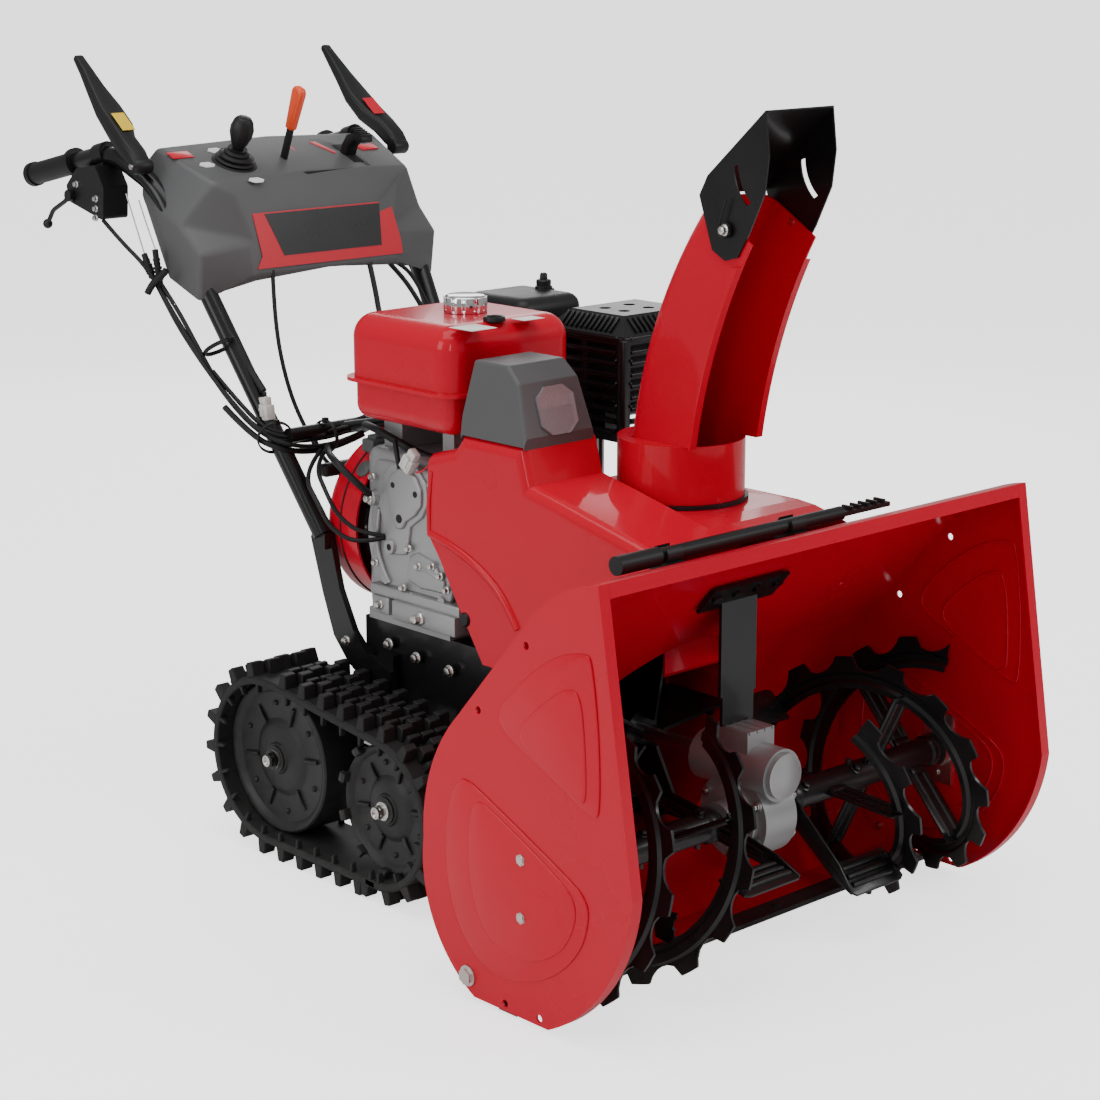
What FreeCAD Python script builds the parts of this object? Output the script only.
import FreeCAD, Part
import math
import os

from FreeCAD import Vector

# Two stage snow blower on rubber tracks: one STEP file for each separate piece.
# Millimetres, +Z up, machine facing -Y, its own left side at +X. The model is built with the
# auger shaft at y = 0 and the ground at z = 0, then moved along Y so that the origin lies on
# the ground under the middle of the machine's length.

# Overall sizes
CLEARING_WIDTH = 815.0        # outside of one side plate to the outside of the other
HOUSING_TOP = 590.0           # top rim of the auger housing above the ground
GRIP_END_Y = 1306.0           # rear end of the hand grips
HOUSING_FRONT_Y = -190.0      # foremost point of the side plates

# Auger housing
PLATE_T = 3.0
SHEET_T = 3.0
RIM_WIDTH = 14.0
HOUSING_BOTTOM = 6.0
HOUSING_REAR_Y = 190.0
SHEET_END_Y = 52.0
BOLT_R = 5.0

SKID_X = 244.0

# Augers and gear case
AUGER_Z = 180.0
AUGER_R = 170.0
RIBBON_WIDTH = 44.0
RIBBON_T = 4.0
RIBBON_TURNS = 0.92
SHAFT_R = 14.0
AUGER_TUBE_R = 20.0
SHEAR_PIN_R = 4.0
SHEAR_PIN_X = (98.0, 204.0)
RUNNING_GAP = 0.05            # radial clearance of every turning fit
CLEAR = 1.0                   # plain clearance between bodies that move past each other
WORM_LIFT = 65.0              # impeller shaft above the auger shaft
WORM_R = 14.0
CASE_HALF = 30.0
CASE_WALL = 6.0
CASE_BOSS_END = 62.0
CASE_FRONT_Y = -58.0
CASE_REAR_Y = 78.0

# Impeller and its drum
IMPELLER_R = 150.0
DRUM_R = 157.0                # inside radius
DRUM_T = 3.0
DRUM_REAR_Y = 305.0
IMPELLER_FRONT_Y = 202.0
IMPELLER_REAR_Y = 296.0
IMPELLER_SHAFT_R = 11.0
PULLEY_Y = 330.0
PULLEY_W = 26.0
IMPELLER_PULLEY_R = 110.0

# Discharge chute
CHUTE_X = 70.0
CHUTE_Y = 200.0
COLLAR_R = 84.0
COLLAR_TOP = 612.0
SKIRT_BOTTOM = 575.0
SKIRT_TOP = 655.0
CHUTE_HALF = 62.0
CHUTE_T = 3.0
FLANGE_TOP = 905.0            # the flanges stop below the deflector's swing
TILT_Y = 60.0
TILT_Z = 952.0
EAR_T = 2.5

# Engine
ENGINE_X = -20.0
CRANK_Z = 478.0
CRANK_R = 12.7
CASE_FLOOR_Z = 352.0
BLOCK_FRONT_Y = 425.0
BLOCK_REAR_Y = 640.0
FAN_R = 130.0
FAN_REAR_Y = 716.0
ENGINE_PULLEY_R = 45.0
TANK = (-170.0, 66.0, 405.0, 634.0)
TANK_BOTTOM = 650.0
TANK_SEAM = 710.0
TANK_TOP = 802.0
CAP_R = 31.0

# Frame and tracks
FRAME_HALF = 138.0
FRAME_FRONT_Y = 318.0
FRAME_REAR_Y = 636.0
FRAME_BOTTOM = 205.0
FRAME_T = 4.0
AXLE_Y = 440.0
IDLER_Y = 690.0
AXLE_R = 12.5
TRACK_INNER = 167.0
TRACK_WIDTH = 123.0
AXLE_Z = 132.0                # also the radius of the lug tips round the sprocket
IDLER_Z = 147.0               # also the radius of the lug tips round the idler
LUG_H = 20.0
BELT_T = 12.0
LUG_PITCH = 44.0
WHEEL_GAP = 1.5               # between a wheel's rim and the inside of the track
TAB_H = 5.0

# Handle frame and console
TUBE_R = 14.0
POST_X = 205.0
CONSOLE_HALF = 232.0
CONSOLE_T = 3.0
CONTROL_Y = 965.0
CONTROL_Z = 984.0
CONTROL_LEAN = 22.6
GRIP_R = 17.0
GRIP_LENGTH = 122.0

IMPELLER_Z = AUGER_Z + WORM_LIFT
HALF = CLEARING_WIDTH / 2
INNER_HALF = HALF - PLATE_T
MIRROR_X = Vector(1, 0, 0)
AXES = {"x": Vector(1, 0, 0), "y": Vector(0, 1, 0), "z": Vector(0, 0, 1)}
SIDES = (("right", -1), ("left", 1))
NODES = {}


# Helpers ---------------------------------------------------------------------------------

def box(x0, x1, y0, y1, z0, z1):
    return Part.makeBox(x1 - x0, y1 - y0, z1 - z0, Vector(x0, y0, z0))


def soft_box(x0, x1, y0, y1, z0, z1, radius):
    block = box(x0, x1, y0, y1, z0, z1)
    return block.makeFillet(radius, block.Edges)


def cyl(axis, start, radius, length):
    """Cylinder from the point start along the named axis."""
    return Part.makeCylinder(radius, length, Vector(*start), AXES[axis])


def cone(axis, start, r1, r2, length):
    return Part.makeCone(r1, r2, length, Vector(*start), AXES[axis])


def pipe(axis, start, r_out, r_in, length):
    return cyl(axis, start, r_out, length).cut(cyl(axis, start, r_in, length))


def join(*shapes):
    return shapes[0].multiFuse(list(shapes[1:])).removeSplitter()


def group(shapes):
    return Part.makeCompound(shapes)


def mirrored(shape):
    return shape.mirror(Vector(0, 0, 0), MIRROR_X)


def sided(shape, sign):
    """The shape itself at +X, or its mirror image at -X."""
    return shape if sign > 0 else mirrored(shape)


def place(plane, a, b):
    """A point of an outline: plane x holds (y, z), y holds (x, z) and z holds (x, y)."""
    if plane == "x":
        return Vector(0, a, b)
    if plane == "y":
        return Vector(a, 0, b)
    return Vector(a, b, 0)


def wire(plane, outline):
    """Closed wire through points; ("arc", middle, end) makes a round stretch."""
    edges = []
    here = place(plane, *outline[0])
    for step in outline[1:]:
        if step[0] == "arc":
            middle = place(plane, *step[1])
            end = place(plane, *step[2])
            edges.append(Part.Arc(here, middle, end).toShape())
        else:
            end = place(plane, *step)
            edges.append(Part.LineSegment(here, end).toShape())
        here = end
    first = place(plane, *outline[0])
    if here.distanceToPoint(first) > 0.01:
        edges.append(Part.LineSegment(here, first).toShape())
    return Part.Wire(edges)


def prism(plane, outline, low, high):
    """Solid with the outline as its section, from low to high along the plane's axis."""
    face = Part.Face(wire(plane, outline))
    face.translate(AXES[plane] * low)
    return face.extrude(AXES[plane] * (high - low))


def band(plane, outline, inset, low, high):
    """Closed strip of the given thickness just inside an outline."""
    outer = Part.Face(wire(plane, outline))
    inner = outer.makeOffset2D(-inset)
    strip = outer.cut(inner)
    strip.translate(AXES[plane] * low)
    return strip.extrude(AXES[plane] * (high - low))


def route(points, radii):
    """Path of straight runs joined by tangent arcs, one radius for each inner point."""
    corners = [Vector(*p) for p in points]
    edges = []
    start = corners[0]
    for index in range(1, len(corners) - 1):
        before = (corners[index] - corners[index - 1]).normalize()
        after = (corners[index + 1] - corners[index]).normalize()
        turn = before.getAngle(after)
        if turn < 0.01:
            continue
        radius = radii[index - 1]
        back = radius * math.tan(turn / 2)
        enter = corners[index] - before * back
        leave = corners[index] + after * back
        towards = (after - before).normalize()
        centre = corners[index] + towards * (radius / math.cos(turn / 2))
        middle = centre - towards * radius
        if start.distanceToPoint(enter) > 0.01:
            edges.append(Part.LineSegment(start, enter).toShape())
        edges.append(Part.Arc(enter, middle, leave).toShape())
        start = leave
    edges.append(Part.LineSegment(start, corners[-1]).toShape())
    return Part.Wire(edges)


def rod(points, radii, radius):
    """Round bar or tube along a route."""
    path = route(points, radii)
    first = Vector(*points[0])
    direction = (Vector(*points[1]) - first).normalize()
    ring = Part.Wire([Part.makeCircle(radius, first, direction)])
    return path.makePipeShell([ring], True, False)


def bar(start, end, radius):
    a = Vector(*start)
    b = Vector(*end)
    return Part.makeCylinder(radius, a.distanceToPoint(b), a, b - a)


def bolt(axis, start, radius, head, length, sign=1):
    """Hexagon head bolt: its shank starts at start and the head stands on the other side."""
    shank = cyl(axis, start, radius, length)
    corners = []
    for step in range(7):
        angle = math.radians(60 * step)
        corners.append(Vector(head * math.cos(angle), head * math.sin(angle), 0))
    hexagon = Part.Face(Part.makePolygon(corners)).extrude(Vector(0, 0, head * 0.7))
    washer = Part.makeCylinder(head * 1.25, head * 0.22)
    top = washer.fuse(hexagon)
    top.Placement = FreeCAD.Placement(Vector(0, 0, 0), FreeCAD.Rotation(AXES["z"], AXES[axis] * sign))
    base = Vector(*start)
    if sign > 0:
        base = base + AXES[axis] * length
    top.translate(base)
    return join(shank, top)


def turned(shape, centre, axis, degrees):
    copy = shape.copy()
    copy.rotate(Vector(*centre), AXES[axis], degrees)
    return copy


def leaned(shape, degrees=CONTROL_LEAN):
    """A control drawn upright on the origin, set square to the sloping console top."""
    copy = shape.copy()
    copy.rotate(Vector(0, 0, 0), AXES["x"], degrees)
    return copy


def keep(name, shape):
    NODES[name] = shape.copy()


def middle_y():
    """Middle of the overall length, from the housing rims to the ends of the grips."""
    front = NODES["side_plate_left"].optimalBoundingBox(False).YMin
    rear = NODES["grips"].optimalBoundingBox(False).YMax
    return (front + rear) / 2


# Auger housing ---------------------------------------------------------------------------

def housing_outline():
    """Side view of the housing as (y, z), from the top front corner and round the front."""
    top = HOUSING_TOP
    back = HOUSING_REAR_Y
    front = HOUSING_FRONT_Y
    low = HOUSING_BOTTOM
    return [
        (front + 60, top),
        (front, low + 209),
        ("arc", (front + 38, low + 97), (front + 146, low)),
        (back - 96, low),
        ("arc", (back - 24, low + 68), (back, low + 190)),
        ("arc", (back - 14, low + 282), (back - 68, low + 368)),
        (back - 200, top - 66),
        ("arc", (back - 252, top - 23), (front + 60, top)),
    ]


def side_plate():
    outline = housing_outline()
    plate = prism("x", outline, INNER_HALF, HALF)
    rim = band("x", outline, PLATE_T, INNER_HALF - RIM_WIDTH, INNER_HALF + PLATE_T / 2)
    behind = [(-118, 700), (-118, 560), (-150, 330), (-130, 90), (-60, 40), (-60, -20), (400, -20), (400, 700)]
    rim = rim.cut(prism("x", behind, INNER_HALF - 60, HALF + 1))
    corner = prism("x", [(-128, 586), (-134, 540), (-96, 572)], INNER_HALF - PLATE_T, INNER_HALF + 1)
    plate = join(plate, rim, corner)
    holes = [(-6, 492), (82, 391), (35, 16), (-28, 16), (0, AUGER_Z - 38), (0, AUGER_Z + 38), (105, 32)]
    for y, z in holes:
        plate = plate.cut(cyl("x", (INNER_HALF - 40, y, z), BOLT_R, 60))
    return plate


def housing_sheet():
    """Scroll sheet behind the augers, with a lip along its top front edge."""
    sheet = band("x", housing_outline(), SHEET_T, -INNER_HALF, INNER_HALF)
    mouth = [(-300, 572), (-100, 572), (-60, 300), (-20, 60), (SHEET_END_Y, 30), (SHEET_END_Y, -20), (-300, -20)]
    sheet = sheet.cut(prism("x", mouth, -HALF, HALF))
    sheet = sheet.cut(cyl("y", (0, 60, IMPELLER_Z), DRUM_R - 1, 200))
    top_hole = cyl("z", (0, 0, 0), 4, 40)
    for x in (-210, 250):
        hole = top_hole.copy()
        hole.translate(Vector(x, 60, 430))
        sheet = sheet.cut(hole)
    for sign in (-1, 1):
        sheet = sheet.cut(rim_room(sign))
    return sheet


def rim_room(sign):
    """Space that the side plates' folded rims take out of the sheet's ends."""
    room = box(INNER_HALF - RIM_WIDTH - 0.2, HALF, -160, -117, 558, 600)
    return sided(room, sign)


def impeller_drum():
    outer = join(
        cyl("y", (0, 20, IMPELLER_Z), DRUM_R + DRUM_T, DRUM_REAR_Y - 20),
        box(CHUTE_X - 82, CHUTE_X + 82, 150, DRUM_REAR_Y, IMPELLER_Z, 470),
        cyl("z", (CHUTE_X, CHUTE_Y, 440), COLLAR_R, COLLAR_TOP - 440),
    )
    inner = join(
        cyl("y", (0, 10, IMPELLER_Z), DRUM_R, DRUM_REAR_Y - DRUM_T - 10),
        box(CHUTE_X - 79, CHUTE_X + 79, 140, DRUM_REAR_Y - DRUM_T, IMPELLER_Z, 467),
        cyl("z", (CHUTE_X, CHUTE_Y, 443), COLLAR_R - 3, COLLAR_TOP),
    )
    drum = outer.cut(inner)
    drum = drum.cut(prism("x", housing_outline(), -HALF, HALF))
    return drum.cut(cyl("y", (0, 0, IMPELLER_Z), IMPELLER_SHAFT_R + RUNNING_GAP, 400))


def duct_floor():
    """Front wall of the duct, between the scroll sheet and the collar."""
    wall = box(CHUTE_X - 79, CHUTE_X + 79, 150, 153, IMPELLER_Z, 467)
    return wall.cut(prism("x", housing_outline(), -HALF, HALF))


def scraper_blade():
    blade = box(-INNER_HALF + 1, INNER_HALF - 1, SHEET_END_Y - 34, SHEET_END_Y - 0.3, 2, HOUSING_BOTTOM + SHEET_T)
    heads = []
    for x in (-300, -100, 100, 300):
        heads.append(cyl("z", (x, SHEET_END_Y - 17, HOUSING_BOTTOM + 2), 7, 3))
    return join(blade, *heads)


def gearcase_bracket():
    """Strap from the top of the housing down to the gear case, with its angled foot."""
    strap = box(-34, 34, 22, 27, 300, 470)
    strap = strap.cut(box(-60, -30, 0, 60, 290, 340)).cut(box(30, 60, 0, 60, 290, 340))
    foot = prism("x", [(22, 470), (27, 470), (27, 474), (8, 496), (4, 492)], -72, 72)
    flange = prism("x", [(-2, 497), (30, 461), (33.5, 464.5), (1.5, 500.5)], -72, 72)
    heads = []
    for x in (-58, -20, 20, 58):
        head = cyl("z", (0, 0, 0), 8, 6)
        head.rotate(Vector(0, 0, 0), AXES["x"], 138)
        head.translate(Vector(x, 10, 486))
        heads.append(head)
    return join(strap, foot, flange, *heads)


def auger_gearcase():
    body = join(
        cyl("x", (-CASE_HALF, 0, AUGER_Z), 60, 2 * CASE_HALF),
        cyl("y", (0, CASE_FRONT_Y, IMPELLER_Z), 36, CASE_REAR_Y - CASE_FRONT_Y),
        cyl("x", (-CASE_BOSS_END, 0, AUGER_Z), 27, 2 * CASE_BOSS_END),
        box(-26, 26, -20, 42, IMPELLER_Z, 299.7),
        cyl("y", (0, CASE_FRONT_Y - 7, IMPELLER_Z), 30, 8),
        cyl("x", (-CASE_HALF - 6, 0, AUGER_Z), 46, 2 * CASE_HALF + 12),
    )
    for step in range(6):
        angle = math.radians(60 * step + 30)
        y = 52 * math.cos(angle)
        z = AUGER_Z + 52 * math.sin(angle)
        body = body.fuse(cyl("x", (-CASE_HALF - 4, y, z), 7, 2 * CASE_HALF + 8))
    hollow = join(
        cyl("x", (-CASE_HALF + CASE_WALL, 0, AUGER_Z), 54, 2 * (CASE_HALF - CASE_WALL)),
        cyl("y", (0, CASE_FRONT_Y + CASE_WALL, IMPELLER_Z), 28, CASE_REAR_Y - CASE_FRONT_Y - 2 * CASE_WALL),
    )
    body = body.cut(hollow)
    body = body.cut(cyl("x", (-200, 0, AUGER_Z), SHAFT_R + RUNNING_GAP, 400))
    return body.cut(cyl("y", (0, 0, IMPELLER_Z), IMPELLER_SHAFT_R + RUNNING_GAP, 100))


def shaft_bearings():
    bearings = []
    for name, sign in SIDES:
        flange = box(INNER_HALF - 5, INNER_HALF, -26, 26, AUGER_Z - 52, AUGER_Z + 52)
        flange = flange.cut(cyl("x", (INNER_HALF - 9, 0, AUGER_Z - 38), BOLT_R + 0.5, 20))
        flange = flange.cut(cyl("x", (INNER_HALF - 9, 0, AUGER_Z + 38), BOLT_R + 0.5, 20))
        boss = cyl("x", (INNER_HALF - 18, 0, AUGER_Z), 27, 18)
        bore = cyl("x", (INNER_HALF - 30, 0, AUGER_Z), SHAFT_R + RUNNING_GAP, 27.5)
        bearings.append(sided(flange.fuse(boss).cut(bore), sign))
    return group(bearings)


def housing_bolts():
    bolts = []
    for name, sign in SIDES:
        for y, z, head in ((0, AUGER_Z - 38, 8), (0, AUGER_Z + 38, 8), (105, 32, 11)):
            one = bolt("x", (INNER_HALF - 8, y, z), BOLT_R, head, PLATE_T + 8)
            bolts.append(sided(one, sign))
    return group(bolts)


def skid_shoe(sign):
    """Shoe behind the lower rear of the housing, slotted so that it can be let down."""
    sole = prism("x", [(124, 1), (176, 1), (190, 12), (186, 16), (174, 7), (124, 7)], SKID_X, SKID_X + 60)
    web = prism("x", [(168, 5), (174, 5), (214, 78), (208, 78)], SKID_X, SKID_X + 60)
    shoe = sole.fuse(web)
    shoe = shoe.cut(box(SKID_X + 24, SKID_X + 36, 180, 230, 36, 66))
    return sided(shoe, sign)


# Augers ------------------------------------------------------------------------------------

def ribbon(radius, width, pitch, turns, thick):
    """Helical band round the X axis that starts at x = 0, cut with teeth on its outer edge."""
    height = pitch * turns
    outer = Part.makeHelix(pitch, height, radius)
    inner = Part.makeHelix(pitch, height, radius - width)
    face = Part.makeRuledSurface(outer.Edges[0], inner.Edges[0])
    solid = face.extrude(Vector(0, 0, thick))
    teeth = round(turns * 14)
    cutters = []
    for step in range(teeth):
        part_turn = (step + 0.5) / teeth
        angle = part_turn * turns * 2 * math.pi
        at = Vector((radius + 5) * math.cos(angle), (radius + 5) * math.sin(angle), part_turn * height - 20)
        cutters.append(Part.makeCylinder(15, 44 + thick, at))
    solid = solid.cut(Part.makeCompound(cutters))
    solid.rotate(Vector(0, 0, 0), AXES["y"], 90)
    return solid


def spoke(x, angle, radius):
    """Ribbed pressed arm from the tube out to the ribbon."""
    arm = box(x - 13, x + 13, -3, 3, AUGER_TUBE_R - 3, radius)
    rib = cyl("z", (x, 0, AUGER_TUBE_R), 6, radius - AUGER_TUBE_R - 6)
    return turned(arm.fuse(rib), (0, 0, 0), "x", angle)


def auger_half():
    """One side's ribbon, arms and throw paddles on their tube, at +X and about z = 0."""
    start = 112.0
    length = INNER_HALF - 26 - start
    pitch = length / RIBBON_TURNS
    parts = [pipe("x", (72, 0, 0), AUGER_TUBE_R, SHAFT_R + 0.4, INNER_HALF - 24 - 72)]
    for phase in (0, 180):
        blade = ribbon(AUGER_R, RIBBON_WIDTH, pitch, RIBBON_TURNS, RIBBON_T)
        blade.rotate(Vector(0, 0, 0), AXES["x"], phase)
        blade.translate(Vector(start, 0, 0))
        parts.append(blade)
    for share in (0.16, 0.5, 0.84):
        for phase in (0, 180):
            angle = share * RIBBON_TURNS * 360 + phase
            parts.append(spoke(start + share * length, angle, AUGER_R - RIBBON_WIDTH + 12))
    for phase in (90, 270):
        parts.append(turned(throw_paddle(), (0, 0, 0), "x", phase))
    return join(*parts)


def throw_paddle():
    """Wide ribbed scoop next to the gear case that pushes snow into the impeller."""
    blade = box(74, 172, -3, 3, AUGER_R - 62, AUGER_R - 6)
    ribs = [box(80, 166, -8, 8, AUGER_R - 30, AUGER_R - 22), box(80, 166, -8, 8, AUGER_R - 50, AUGER_R - 42)]
    arms = [box(74, 92, -3, 3, AUGER_TUBE_R - 3, AUGER_R - 30)]
    return join(blade, *ribs, *arms)


def auger(sign, ribbon_phase):
    half = turned(auger_half(), (0, 0, 0), "x", ribbon_phase)
    for x in SHEAR_PIN_X:
        half = half.cut(cyl("z", (x, 0, -60), SHEAR_PIN_R + RUNNING_GAP, 120))
    half = sided(half, sign)
    half.translate(Vector(0, 0, AUGER_Z))
    return half


def auger_shaft():
    end = INNER_HALF - 4
    shaft = cyl("x", (-end, 0, AUGER_Z), SHAFT_R, 2 * end)
    pins = []
    for x in SHEAR_PIN_X:
        for name, sign in SIDES:
            pins.append(cyl("z", (sign * x, 0, AUGER_Z - 27), SHEAR_PIN_R, 54))
    return join(shaft, *pins)


def worm_wheel():
    wheel = cyl("x", (-12, 0, AUGER_Z), 50, 24)
    notch = box(-20, 20, -2, 2, AUGER_Z + 45, AUGER_Z + 60)
    cuts = [turned(notch, (0, 0, AUGER_Z), "x", 18 * step) for step in range(20)]
    wheel = wheel.cut(Part.makeCompound(cuts))
    return wheel.cut(cyl("x", (-20, 0, AUGER_Z), SHAFT_R, 40))


def impeller_shaft():
    shaft = cyl("y", (0, -48, IMPELLER_Z), IMPELLER_SHAFT_R, PULLEY_Y + PULLEY_W + 48 + 6)
    worm = cyl("y", (0, -26, IMPELLER_Z), WORM_R, 52)
    grooves = []
    for step in range(5):
        grooves.append(pipe("y", (0, -21 + 10 * step, IMPELLER_Z), WORM_R + 1, WORM_R - 2, 4))
    return join(shaft, worm).cut(Part.makeCompound(grooves))


def impeller():
    hub = cyl("y", (0, IMPELLER_FRONT_Y, IMPELLER_Z), 30, IMPELLER_REAR_Y - IMPELLER_FRONT_Y)
    disc = cyl("y", (0, IMPELLER_REAR_Y - 4, IMPELLER_Z), IMPELLER_R - 10, 4)
    parts = [hub, disc]
    blade = box(-2.5, 2.5, IMPELLER_FRONT_Y - 22, IMPELLER_REAR_Y, IMPELLER_Z + 20, IMPELLER_Z + IMPELLER_R)
    tip = box(-2.5, 22, IMPELLER_FRONT_Y, IMPELLER_REAR_Y, IMPELLER_Z + IMPELLER_R - 12, IMPELLER_Z + IMPELLER_R - 7)
    for step in range(5):
        parts.append(turned(blade.fuse(tip), (0, 0, IMPELLER_Z), "y", 72 * step + 12))
    whole = join(*parts)
    whole = whole.common(cyl("y", (0, 100, IMPELLER_Z), IMPELLER_R, 240))
    return whole.cut(cyl("y", (0, 100, IMPELLER_Z), IMPELLER_SHAFT_R, 300))


def pulley(x, y, z, radius, width, bore):
    wheel = cyl("y", (x, y, z), radius, width)
    groove = pipe("y", (x, y + width / 2 - 5, z), radius + 1, radius - 11, 10)
    wheel = wheel.cut(groove)
    web = pipe("y", (x, y - 1, z), radius - 18, bore + 14, width / 2 - 3)
    if radius > 60:
        wheel = wheel.cut(web)
    return wheel.cut(cyl("y", (x, y - 1, z), bore, width + 2))


# Belt cover, headlight and clean-out tool ---------------------------------------------------

COVER_T = 2.5
COVER_LEFT = 186.0
COVER_RIGHT = -170.0
COVER_STEP = -34.0            # edge of the tall half, beside the chute collar
COVER_LOW_TOP = 569.0
POD_Y = (262.0, 386.0)
POD_X = (-168.0, -36.0)


def cover_tall_profile(grow=0.0):
    return [
        (-34 + grow, 545 + grow), (60, 569 - grow), (190, 598 - grow), (248 + grow, 610 - grow),
        (262 + grow, 660 - grow), (384, 660 - grow),
        (402, 638 - grow), (452 - grow, 624 - grow), (458 - grow, 515), (429 - grow, 477), (396 - grow, 424), (342 - grow, 345),
        (316, 345), (190, 330), (124, 378), (-6 + grow, 524),
    ]


def cover_low_profile(grow=0.0):
    top = COVER_LOW_TOP - grow
    return [
        (-34 + grow, 545 + grow), (48, top - 3), (80, top), (330, top), (400 - grow, top - 10),
        (404 - grow, 470), (380 - grow, 424), (342 - grow, 345),
        (316, 345), (190, 330), (124, 378), (-6 + grow, 524),
    ]


def belt_cover():
    tall = prism("x", cover_tall_profile(), COVER_RIGHT, COVER_STEP)
    crown = [edge for edge in tall.Edges if abs(edge.tangentAt(edge.FirstParameter).x) < 0.01
             and edge.CenterOfMass.z > 600 and edge.CenterOfMass.x < COVER_RIGHT + 1]
    tall = tall.makeFillet(16, crown)
    low = prism("x", cover_low_profile(), COVER_STEP - 1, COVER_LEFT)
    shoulder = [edge for edge in low.Edges if edge.CenterOfMass.x > COVER_LEFT - 1 and edge.CenterOfMass.z > 555]
    low = low.makeFillet(14, shoulder)
    outer = tall.fuse(low)
    hollow = prism("x", cover_tall_profile(COVER_T), COVER_RIGHT + COVER_T, COVER_STEP - COVER_T)
    crown = [edge for edge in hollow.Edges if abs(edge.tangentAt(edge.FirstParameter).x) < 0.01
             and edge.CenterOfMass.z > 598 and edge.CenterOfMass.x < COVER_RIGHT + COVER_T + 1]
    hollow = hollow.makeFillet(16 - COVER_T, crown)
    hollow_low = prism("x", cover_low_profile(COVER_T), COVER_STEP - 5, COVER_LEFT - COVER_T)
    shoulder = [edge for edge in hollow_low.Edges if edge.CenterOfMass.x > COVER_LEFT - COVER_T - 1
                and edge.CenterOfMass.z > 552]
    hollow_low = hollow_low.makeFillet(14 - COVER_T, shoulder)
    below = prism("x", [(-80, 540), (458, 300), (380, 200), (100, 200)], COVER_RIGHT + COVER_T, COVER_LEFT - COVER_T)
    below = below.common(prism("x", [(0, 500), (130, 300), (500, 300), (330, 360), (120, 420), (40, 500)],
                               -HALF, HALF))
    rear = box(COVER_RIGHT + 20, COVER_LEFT - 20, 380, 500, 330, 607)
    foot = box(COVER_RIGHT + COVER_T, COVER_LEFT - COVER_T, 318, 400, 340, 380)
    shell = outer.cut(hollow).cut(hollow_low).cut(below).cut(rear).cut(foot)
    shell = shell.cut(cyl("z", (CHUTE_X, CHUTE_Y, 400), COLLAR_R + 2, 200))
    shell = shell.cut(prism("x", housing_outline(), -HALF, HALF))
    return shell


def headlight_pod():
    x0, x1 = POD_X
    y0, y1 = POD_Y
    profile = [(y0, 650), (y0 - 4, 672), (y0 + 16, 742), (y0 + 40, 764), (y1 - 16, 764), (y1, 700), (y1 + 2, 655)]
    pod = prism("x", profile, x0, x1)
    slant = prism("y", [(x0 - 5, 640), (x0 - 5, 800), (x0 + 14, 800), (x0, 640)], y0 - 40, y1 + 80)
    pod = pod.cut(slant)
    slant = prism("y", [(x1 + 5, 640), (x1 + 5, 800), (x1 - 22, 800), (x1, 640)], y0 - 40, y1 + 80)
    pod = pod.cut(slant)
    pod = pod.makeFillet(5, [e for e in pod.Edges if e.CenterOfMass.z > 690 and e.Length > 12])
    pod = pod.cut(prism("x", [(y0 + 6, 640), (y0 + 24, 738), (y0 + 44, 756), (y1 - 22, 756), (y1 - 6, 700),
                              (y1 - 6, 640)], x0 + 16, x1 - 24))
    return pod.cut(lens_form(0.4)).cut(prism("x", cover_tall_profile(), x0 - 5, COVER_STEP))


def lens_form(grow=0.0):
    cx = (POD_X[0] + POD_X[1]) / 2
    half = 33 + grow
    corner = 17
    outline = [
        (cx - half, 686), (cx - half + corner, 672 - grow), (cx + half - corner, 672 - grow), (cx + half, 686),
        (cx + half, 724), (cx + half - corner, 738 + grow), (cx - half + corner, 738 + grow), (cx - half, 724),
    ]
    lens = prism("y", outline, 0, 16)
    lens.rotate(Vector(cx, 0, 672), AXES["x"], -15.9)
    lens.translate(Vector(0, POD_Y[0] - 8, 0))
    return lens


TOOL_X = (-322.0, 178.0)
TOOL_Y = -72.0
TOOL_Z = 588.0


def tool_clips():
    clips = []
    for x in (-246, -20):
        ring = pipe("x", (x, TOOL_Y, TOOL_Z), 14, 9.6, 26)
        ring = ring.cut(box(x - 1, x + 27, TOOL_Y - 9.6, TOOL_Y + 9.6, TOOL_Z, TOOL_Z + 20))
        foot = box(x, x + 26, TOOL_Y - 18, TOOL_Y + 18, 561, TOOL_Z - 7)
        clip = ring.fuse(foot).cut(cyl("x", (x - 1, TOOL_Y, TOOL_Z), 9.6, 30))
        clips.append(clip.cut(prism("x", housing_outline(), -HALF, HALF)))
    return group(clips)


def cleanout_tool():
    """Stick with a flat shovel end, held in two clips on top of the housing."""
    stick = cyl("x", (TOOL_X[0], TOOL_Y, TOOL_Z), 9.3, TOOL_X[1] - TOOL_X[0] - 90)
    grip = cyl("x", (TOOL_X[0], TOOL_Y, TOOL_Z), 12, 70)
    blade = box(TOOL_X[1] - 92, TOOL_X[1], TOOL_Y - 9, TOOL_Y + 9, TOOL_Z - 3, TOOL_Z + 3)
    ribs = [box(x, x + 4, TOOL_Y - 9, TOOL_Y + 9, TOOL_Z - 3, TOOL_Z + 8) for x in range(100, 170, 16)]
    return join(stick, grip, blade, *ribs)


# Chute ---------------------------------------------------------------------------------------

def chute_profile(back=0.0, over=0.0):
    """Side view of the channel as (y, z): front edge, top and the curved back."""
    return [
        (122 - over, 600), ("arc", (88 - over, 775), (19 - over, 936)),
        (106 - back, 989), ("arc", (207 - back, 812), (252 - back, 600)),
    ]


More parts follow.
